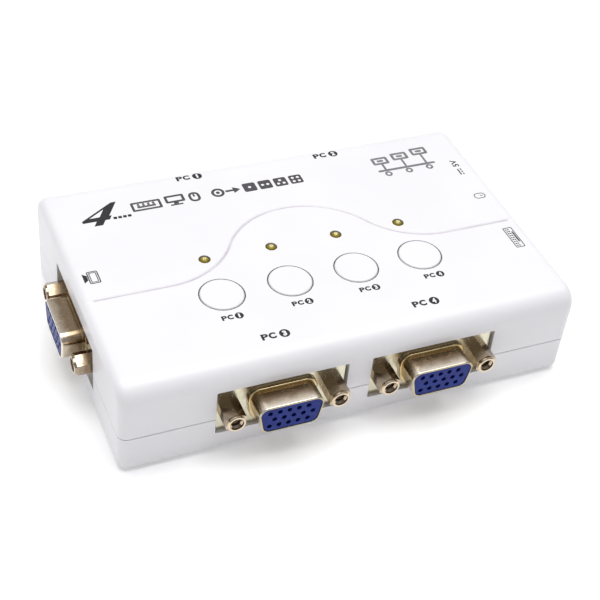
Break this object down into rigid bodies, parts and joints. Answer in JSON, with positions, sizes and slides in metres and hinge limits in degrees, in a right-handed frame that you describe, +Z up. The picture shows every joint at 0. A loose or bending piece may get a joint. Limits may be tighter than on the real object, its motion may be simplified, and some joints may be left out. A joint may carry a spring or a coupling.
{
  "type": "kvm switch",
  "caption": "Flat white KVM switch box with round push buttons and indicator lights on top, VGA sockets on three sides, and USB and DC sockets on one end.",
  "frame": {"origin": "bottom centre of the bounding box, on the plane of the feet; the casing is centred 2.5 mm to the +X side because the monitor socket stands out at the left", "axes": "+X along the long front edge towards the USB end, -Y out of the front with the PC3 and PC4 sockets, +Z up"},
  "size_m": [0.1178, 0.084, 0.0253],
  "materials": {
    "case_plastic": "glossy white ABS with a faint moulded texture",
    "button_plastic": "glossy white ABS",
    "led_lens": "olive-yellow tinted epoxy lens, unlit",
    "tinned_steel": "tin plated",
    "switch_plastic": "moulded black",
    "spring_steel": "stamped stainless steel",
    "connector_shell": "nickel plated with a warm champagne tone",
    "blue_insulator": "satin blue moulded",
    "contact_metal": "thin gold over nickel",
    "jackscrew_nickel": "turned and nickel plated",
    "usb_steel": "bright nickel plated",
    "usb_plastic": "white moulded",
    "black_plastic": "moulded black",
    "board_laminate": "green solder mask",
    "chip_epoxy": "black moulded epoxy",
    "can_metal": "drawn can",
    "chip_ceramic": "fired ceramic",
    "screw_steel": "zinc plated",
    "foot_rubber": "matt"
  },
  "bodies": {
    "casing": {"board_screws": "screw_steel", "case_screws": "screw_steel", "chip_components": "chip_ceramic", "chip_legs": "tinned_steel", "circuit_board": "board_laminate", "controller_chip": "chip_epoxy", "crystal": "can_metal", "dc_jack_contacts": "contact_metal", "dc_jack_housing": "black_plastic", "dc_jack_pin": "contact_metal", "filter_capacitors": "can_metal", "keyboard_usb_contacts": "contact_metal", "keyboard_usb_shell": "usb_steel", "keyboard_usb_tongue": "usb_plastic", "led_1": "led_lens", "led_2": "led_lens", "led_3": "led_lens", "led_4": "led_lens", "led_leads": "tinned_steel", "lower_cover": "case_plastic", "monitor_jackscrews": "jackscrew_nickel", "monitor_vga_base": "blue_insulator", "monitor_vga_contacts": "contact_metal", "monitor_vga_insulator": "blue_insulator", "monitor_vga_shell": "connector_shell", "mouse_usb_contacts": "contact_metal", "mouse_usb_shell": "usb_steel", "mouse_usb_tongue": "usb_plastic", "pc1_jackscrews": "jackscrew_nickel", "pc1_vga_base": "blue_insulator", "pc1_vga_contacts": "contact_metal", "pc1_vga_insulator": "blue_insulator", "pc1_vga_shell": "connector_shell", "pc2_jackscrews": "jackscrew_nickel", "pc2_vga_base": "blue_insulator", "pc2_vga_contacts": "contact_metal", "pc2_vga_insulator": "blue_insulator", "pc2_vga_shell": "connector_shell", "pc3_jackscrews": "jackscrew_nickel", "pc3_vga_base": "blue_insulator", "pc3_vga_contacts": "contact_metal", "pc3_vga_insulator": "blue_insulator", "pc3_vga_shell": "connector_shell", "pc4_jackscrews": "jackscrew_nickel", "pc4_vga_base": "blue_insulator", "pc4_vga_contacts": "contact_metal", "pc4_vga_insulator": "blue_insulator", "pc4_vga_shell": "connector_shell", "rubber_feet": "foot_rubber", "switch_bases": "switch_plastic", "switch_domes": "spring_steel", "switch_frames": "spring_steel", "upper_cover": "case_plastic", "video_switch_chips": "chip_epoxy", "voltage_regulator": "chip_epoxy"},
    "button_1": {"button_1": "button_plastic", "switch_plunger_1": "switch_plastic"},
    "button_2": {"button_2": "button_plastic", "switch_plunger_2": "switch_plastic"},
    "button_3": {"button_3": "button_plastic", "switch_plunger_3": "switch_plastic"},
    "button_4": {"button_4": "button_plastic", "switch_plunger_4": "switch_plastic"}
  },
  "joints": [
    {"name": "button_1_press", "type": "slide", "parent": "casing", "child": "button_1", "axis": [0, 0, -1], "range_m": [0, 0.0003], "stiffness_N_per_m": 800, "springref_m": -0.0005},
    {"name": "button_2_press", "type": "slide", "parent": "casing", "child": "button_2", "axis": [0, 0, -1], "range_m": [0, 0.0003], "stiffness_N_per_m": 800, "springref_m": -0.0005},
    {"name": "button_3_press", "type": "slide", "parent": "casing", "child": "button_3", "axis": [0, 0, -1], "range_m": [0, 0.0003], "stiffness_N_per_m": 800, "springref_m": -0.0005},
    {"name": "button_4_press", "type": "slide", "parent": "casing", "child": "button_4", "axis": [0, 0, -1], "range_m": [0, 0.0003], "stiffness_N_per_m": 800, "springref_m": -0.0005}
  ]
}
